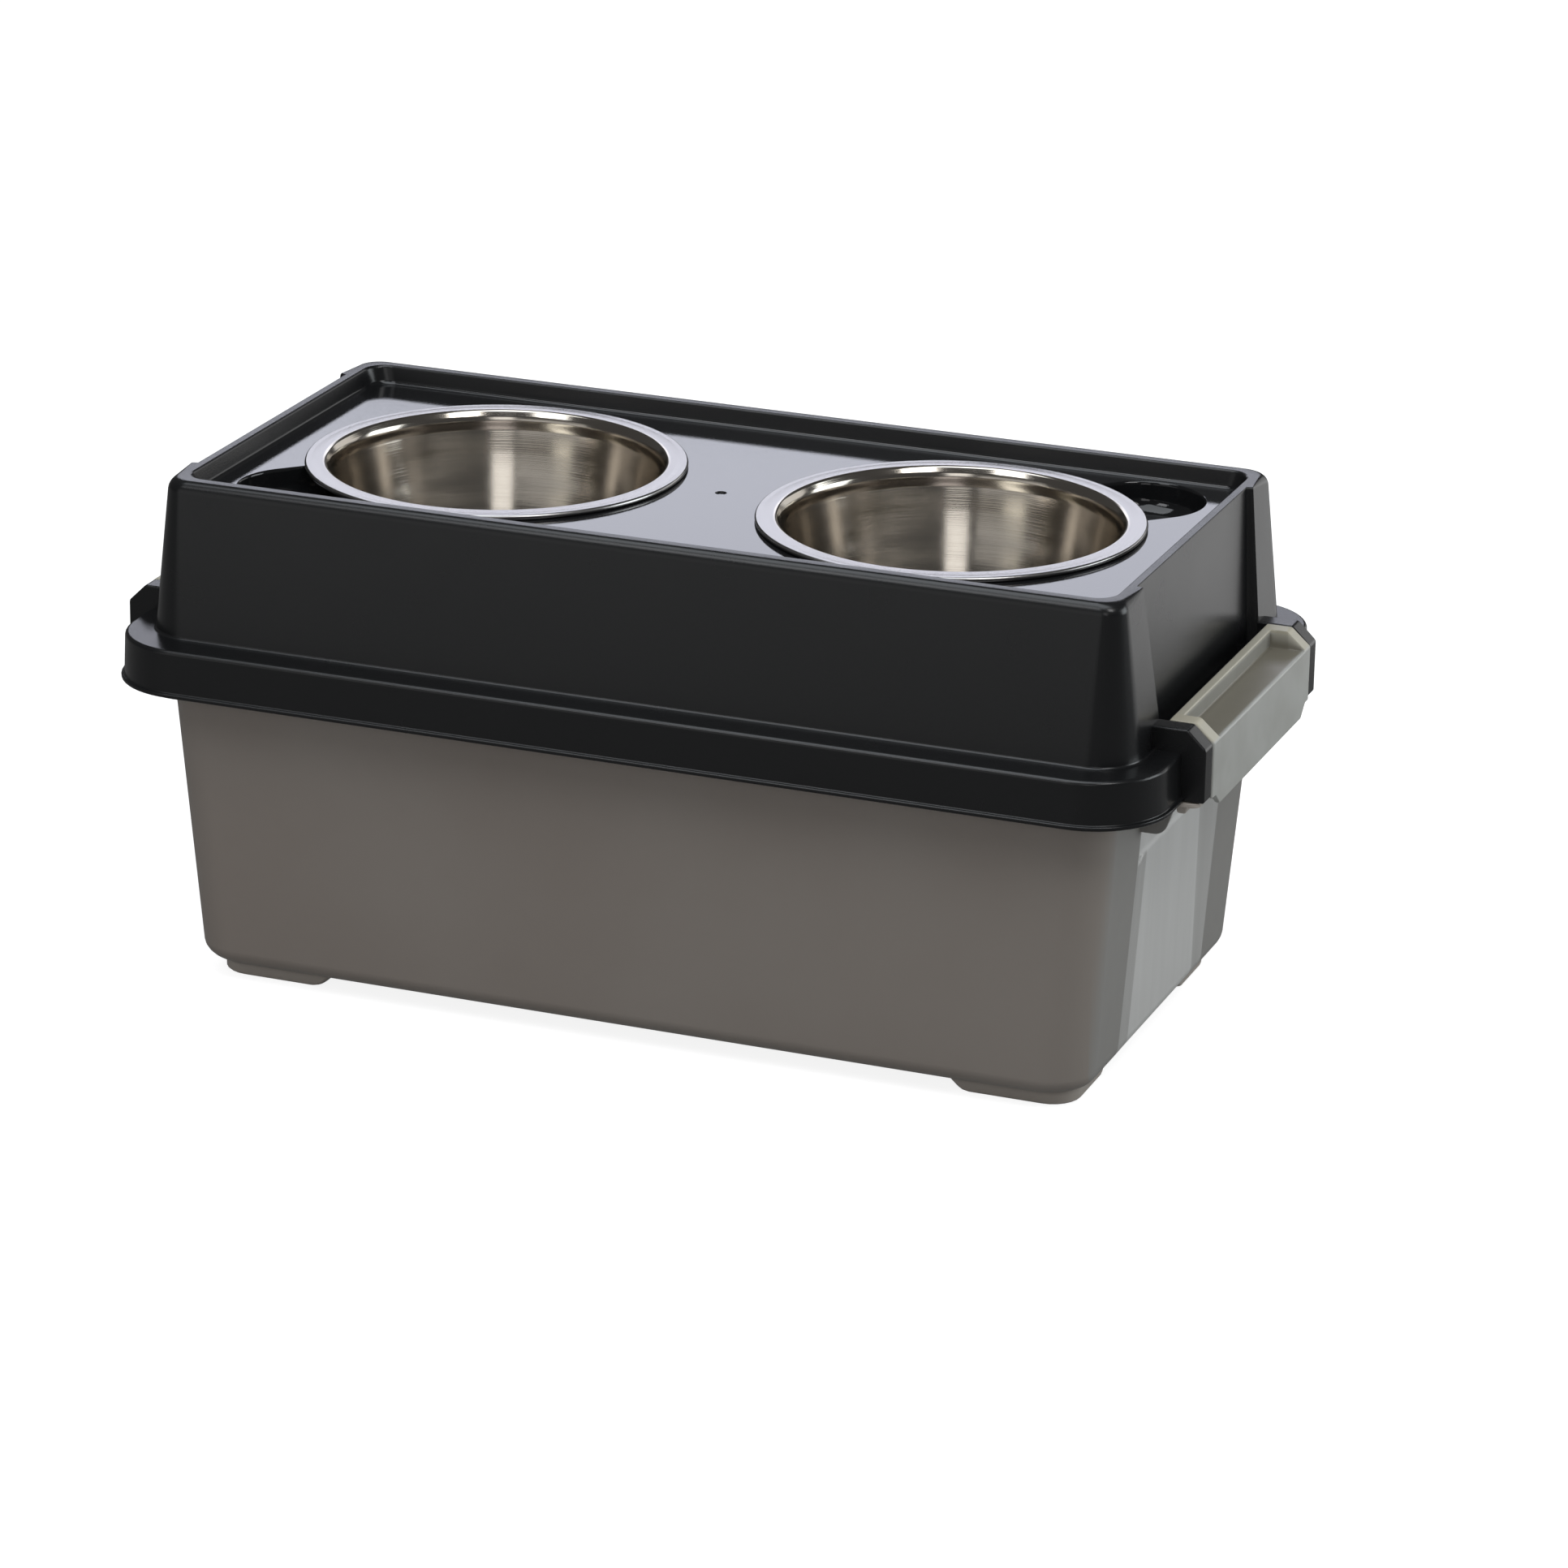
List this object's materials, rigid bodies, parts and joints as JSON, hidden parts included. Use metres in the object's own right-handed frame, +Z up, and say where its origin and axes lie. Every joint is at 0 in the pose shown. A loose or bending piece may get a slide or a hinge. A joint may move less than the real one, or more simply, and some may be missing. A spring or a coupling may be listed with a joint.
{
  "type": "elevated pet feeder",
  "caption": "Raised pet feeder: storage tub with a clipped lid that holds drop-in steel bowls in a tray with finger scoops.",
  "frame": {"origin": "on the ground under the middle of the feeder, at the centre of its footprint", "axes": "+X along the length to the right-hand clip, +Y to the back, +Z up"},
  "size_m": [0.497, 0.2622, 0.2278],
  "materials": {
    "tub_plastic": "satin translucent grey",
    "lid_plastic": "satin black, tray floor polished",
    "gasket_rubber": "soft matte",
    "bowl_steel": "polished rim, satin inside",
    "clip_plastic": "satin translucent grey"
  },
  "bodies": {
    "tub": {"tub": "tub_plastic"},
    "lid": {"lid": "lid_plastic", "well_left": "lid_plastic", "well_right": "lid_plastic", "lid_gasket": "gasket_rubber"},
    "bowl_left": {"bowl_left": "bowl_steel"},
    "bowl_right": {"bowl_right": "bowl_steel"},
    "latch_left": {"latch_left": "clip_plastic"},
    "latch_right": {"latch_right": "clip_plastic"}
  },
  "joints": [
    {"name": "lid_lift", "type": "slide", "parent": "tub", "child": "lid", "axis": [0, 0, 1], "range_m": [0, 0.12]},
    {"name": "bowl_left_lift", "type": "slide", "parent": "lid", "child": "bowl_left", "axis": [0, 0, 1], "range_m": [0, 0.08]},
    {"name": "bowl_right_lift", "type": "slide", "parent": "lid", "child": "bowl_right", "axis": [0, 0, 1], "range_m": [0, 0.08]},
    {"name": "latch_left_swing", "type": "hinge", "parent": "lid", "child": "latch_left", "pos_m": [-0.23154, 0, 0.1627], "axis": [0, 1, 0], "range_deg": [0, 85]},
    {"name": "latch_right_swing", "type": "hinge", "parent": "lid", "child": "latch_right", "pos_m": [0.23154, 0, 0.1627], "axis": [0, -1, 0], "range_deg": [0, 85]}
  ]
}
